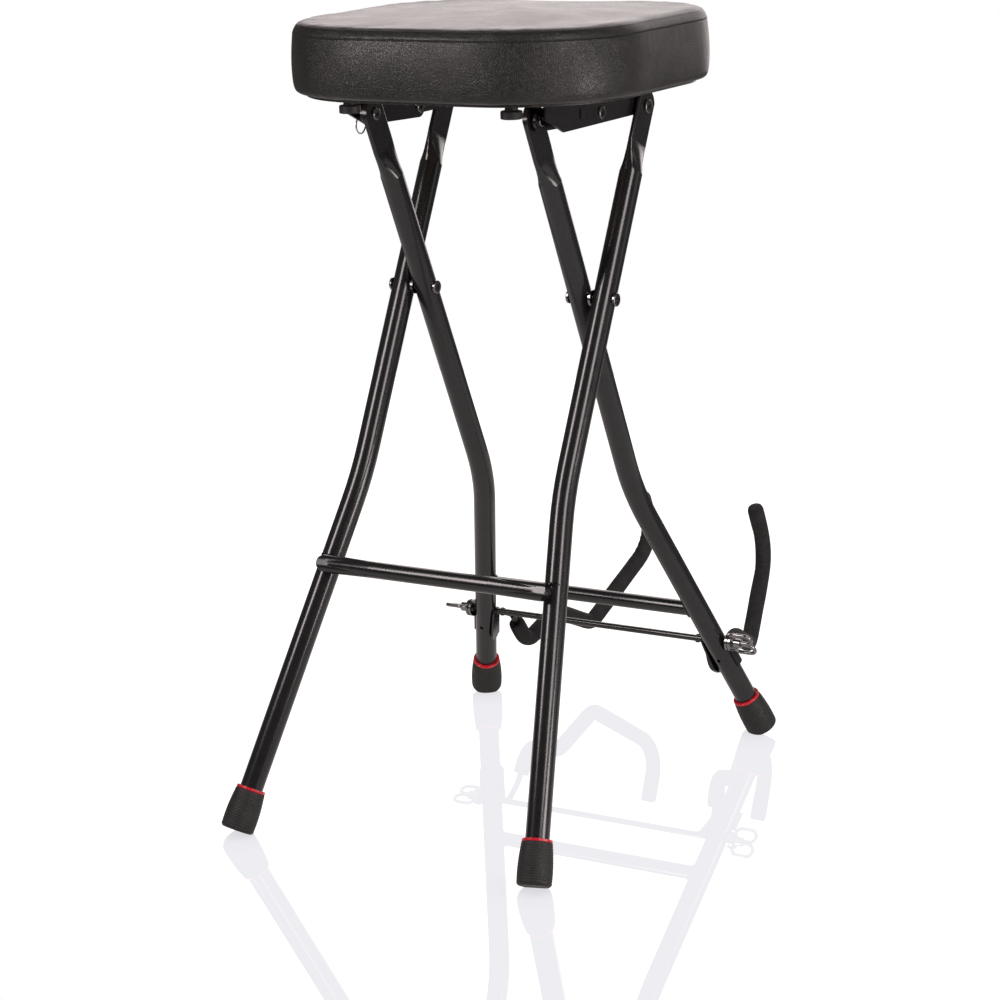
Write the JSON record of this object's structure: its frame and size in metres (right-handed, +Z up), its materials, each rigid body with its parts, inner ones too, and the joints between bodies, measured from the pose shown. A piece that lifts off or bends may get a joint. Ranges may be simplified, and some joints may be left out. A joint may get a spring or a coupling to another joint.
{
  "type": "stool",
  "caption": "Folding padded stool on crossed tube legs, with a hollow in the seat's back edge, a front footrest bar and a foam-covered cradle that holds a guitar behind the legs.",
  "frame": {"origin": "on the floor, under the middle of the whole stool, cradle included", "axes": "+Z up, +Y towards the guitar cradle at the back, +X to the sitter's left when they face the front bar side"},
  "size_m": [0.3606, 0.7142, 0.7555],
  "materials": {
    "frame_coat": "gloss black powder coat",
    "bright_steel": "bright plated",
    "dark_steel": "black nickel plated, bright",
    "seat_cover": "black leatherette, fine grain, satin",
    "board_ply": "plain plywood",
    "foot_rubber": "matt black rubber",
    "ring_red": "red plastic, satin",
    "foam_black": "black foam sleeve, matt"
  },
  "bodies": {
    "rear_frame": {"rear_leg_left": "frame_coat", "rear_leg_right": "frame_coat", "rear_crossbar": "frame_coat", "rear_foot_left": "foot_rubber", "rear_foot_right": "foot_rubber", "rear_foot_ring_left": "ring_red", "rear_foot_ring_right": "ring_red", "cradle_saddle_left": "frame_coat", "cradle_saddle_right": "frame_coat", "saddle_rivets": "dark_steel", "cross_rivets": "dark_steel", "cross_washers": "dark_steel", "leg_top_rivets": "dark_steel"},
    "front_frame": {"front_leg_left": "frame_coat", "front_leg_right": "frame_coat", "front_crossbar": "frame_coat", "front_foot_left": "foot_rubber", "front_foot_right": "foot_rubber", "front_foot_ring_left": "ring_red", "front_foot_ring_right": "ring_red"},
    "seat": {"seat_cushion": "seat_cover", "seat_board": "board_ply", "seat_bracket_left": "frame_coat", "seat_bracket_right": "frame_coat", "bracket_screws": "dark_steel", "seat_rivets": "dark_steel", "seat_washers": "dark_steel", "link_rivets": "dark_steel", "link_spacers": "dark_steel", "seat_bumpers": "foot_rubber", "bumper_screws": "dark_steel", "lock_pin_spring": "bright_steel"},
    "link_left": {"fold_link_left": "frame_coat", "link_head_left": "dark_steel"},
    "link_right": {"fold_link_right": "frame_coat", "link_head_right": "dark_steel"},
    "lock_pin": {"lock_pin": "bright_steel"},
    "pull_ring": {"pull_ring": "bright_steel"},
    "cradle": {"cradle_rod": "frame_coat", "cradle_arm_left": "frame_coat", "cradle_arm_right": "frame_coat", "cradle_foam_left": "foam_black", "cradle_foam_right": "foam_black"},
    "nut_left": {"wing_nut_left": "dark_steel"},
    "nut_right": {"wing_nut_right": "dark_steel"}
  },
  "joints": [
    {"name": "fold", "type": "hinge", "parent": "rear_frame", "child": "front_frame", "pos_m": [0, -0.08825, 0.49046], "axis": [1, 0, 0], "range_deg": [0, 40.8]},
    {"name": "seat_turn", "type": "hinge", "parent": "front_frame", "child": "seat", "pos_m": [0, 0.0012, 0.6606], "axis": [1, 0, 0], "range_deg": [-115, 0]},
    {"name": "link_turn_left", "type": "hinge", "parent": "seat", "child": "link_left", "pos_m": [0, -0.08074, 0.6637], "axis": [1, 0, 0], "range_deg": [0, 154.5]},
    {"name": "link_turn_right", "type": "hinge", "parent": "seat", "child": "link_right", "pos_m": [0, -0.08074, 0.6637], "axis": [1, 0, 0], "range_deg": [0, 154.5]},
    {"name": "lock_pull", "type": "slide", "parent": "seat", "child": "lock_pin", "axis": [-1, 0, 0], "range_m": [0, 0.005], "stiffness_N_per_m": 800, "springref_m": -0.002, "deforming": ["lock_pin_spring"]},
    {"name": "ring_swing", "type": "hinge", "parent": "lock_pin", "child": "pull_ring", "pos_m": [-0.1106, -0.1537, 0.6617], "axis": [0, 1, 0], "range_deg": [0, 90]},
    {"name": "cradle_turn", "type": "hinge", "parent": "rear_frame", "child": "cradle", "pos_m": [0, 0.09036, 0.1075], "axis": [1, 0, 0], "range_deg": [0, 90]},
    {"name": "nut_turn_left", "type": "hinge", "parent": "cradle", "child": "nut_left", "pos_m": [-0.155, 0.09036, 0.1075], "axis": [1, 0, 0], "continuous": true},
    {"name": "nut_turn_right", "type": "hinge", "parent": "cradle", "child": "nut_right", "pos_m": [0.155, 0.09036, 0.1075], "axis": [1, 0, 0], "continuous": true}
  ],
  "couplings": [
    {"joint": "seat_turn", "follows": "fold", "ratio": -2.809},
    {"joint": "link_turn_left", "follows": "fold", "ratio": 3.775},
    {"joint": "link_turn_right", "follows": "fold", "ratio": 3.775}
  ]
}
